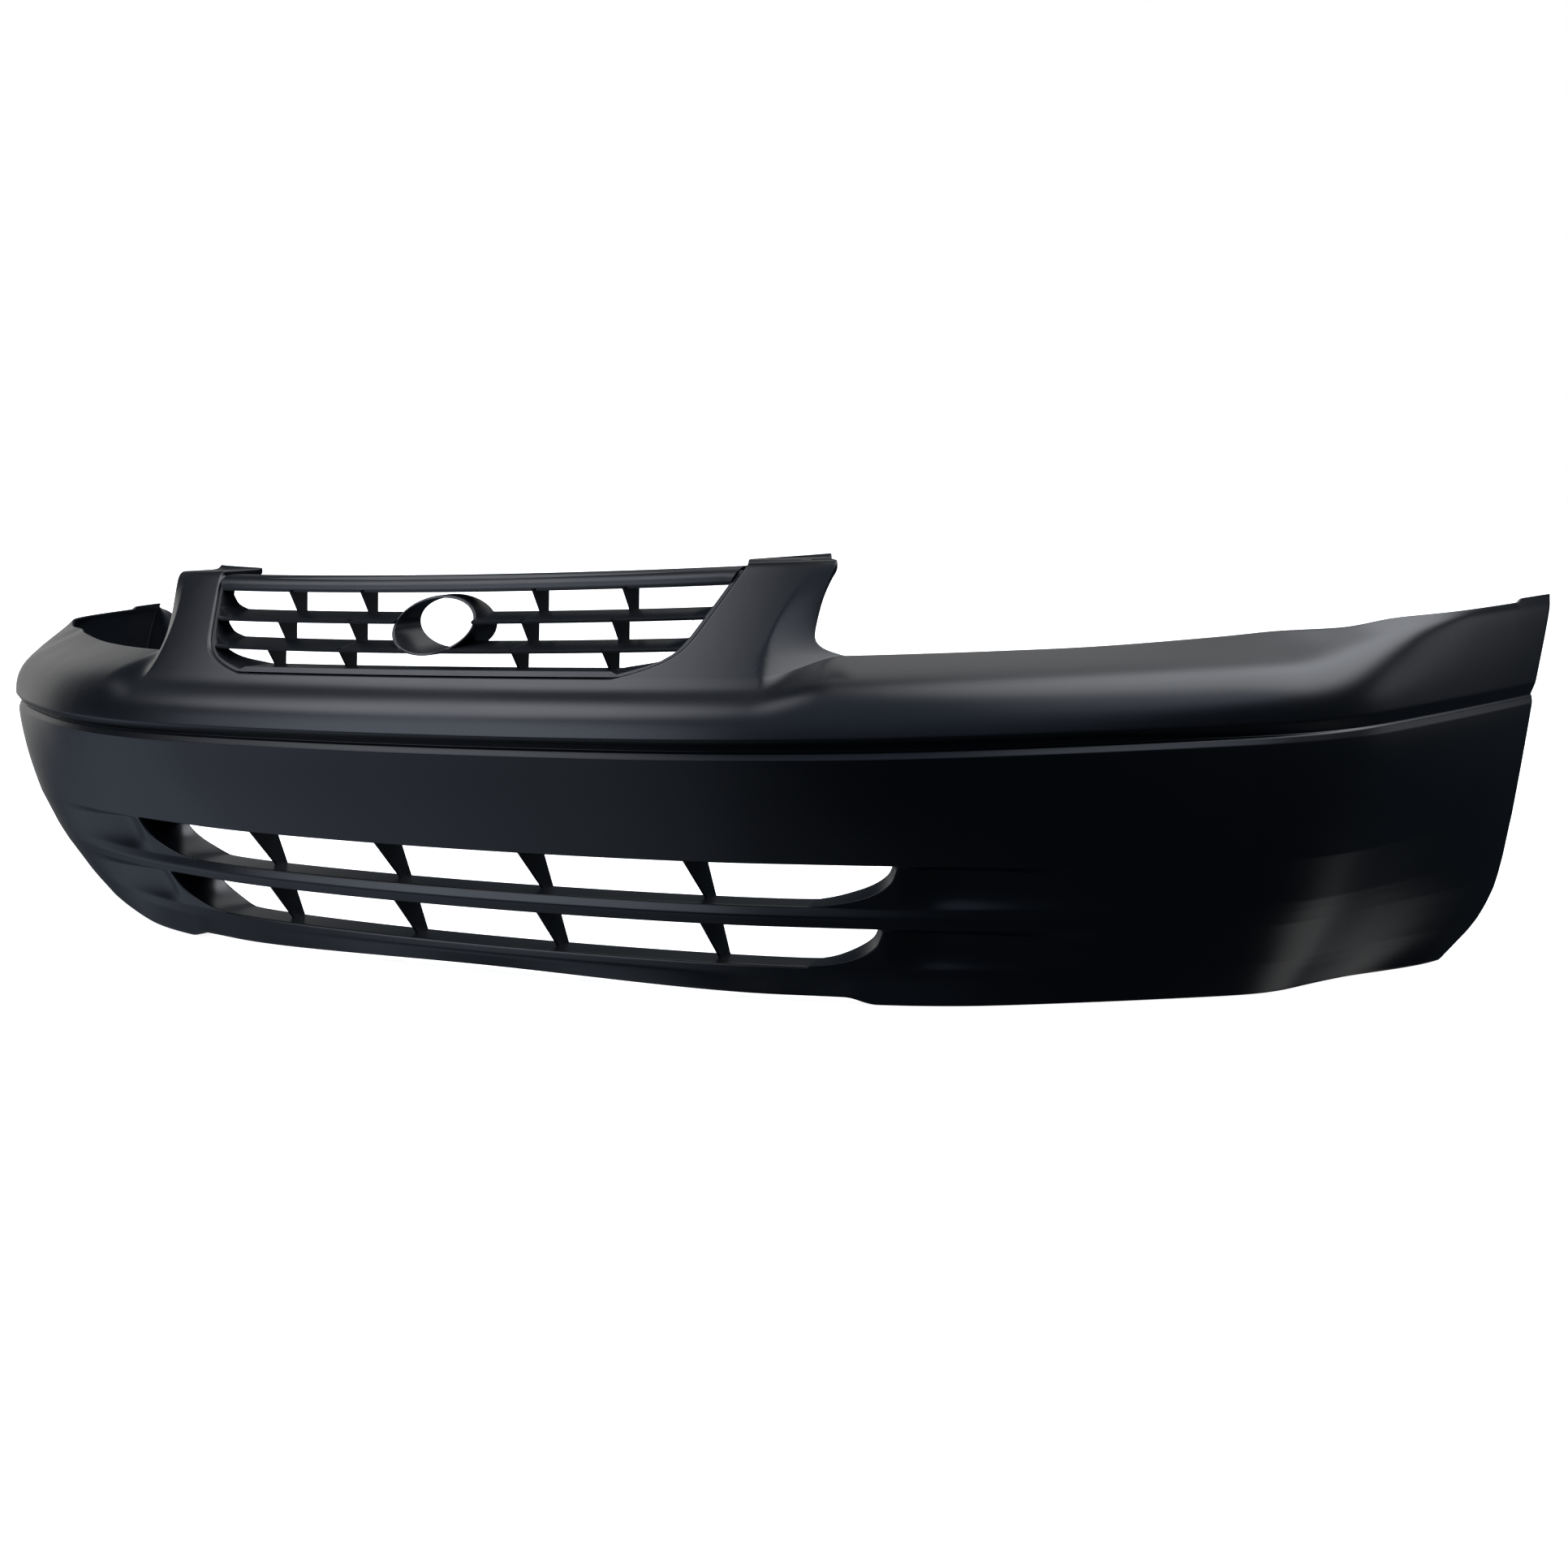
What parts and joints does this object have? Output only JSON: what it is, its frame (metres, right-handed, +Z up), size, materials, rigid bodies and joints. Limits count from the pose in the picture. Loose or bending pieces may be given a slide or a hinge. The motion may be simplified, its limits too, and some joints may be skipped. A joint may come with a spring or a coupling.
{
  "type": "bumper cover",
  "caption": "Front bumper cover in dark primer, with raked grille posts, headlamp bays, ribbed lower intakes, a bolted-in grille insert and its clip nuts.",
  "frame": {"origin": "middle of the footprint, on the plane that the bottom edge stands on", "axes": "+X to the left side of the car, -Y to the front, +Z up"},
  "size_m": [1.7638, 0.5763, 0.3885],
  "materials": {
    "primed_cover": "satin dark blue-black primer on moulded polypropylene",
    "moulded_grille": "satin dark moulded plastic with a fine grain",
    "zinc_screw": "zinc-plated steel",
    "phosphate_clip": "black phosphate spring steel"
  },
  "bodies": {
    "root": {"bumper_cover": "primed_cover", "grille_insert": "moulded_grille", "grille_screw_1": "zinc_screw", "grille_screw_2": "zinc_screw", "grille_screw_3": "zinc_screw", "grille_screw_4": "zinc_screw", "grille_clip_nut_1": "phosphate_clip", "grille_clip_nut_2": "phosphate_clip", "grille_clip_nut_3": "phosphate_clip", "grille_clip_nut_4": "phosphate_clip", "undercover_clip_nut_1": "phosphate_clip", "undercover_clip_nut_2": "phosphate_clip", "undercover_clip_nut_3": "phosphate_clip", "undercover_clip_nut_4": "phosphate_clip"}
  },
  "joints": []
}
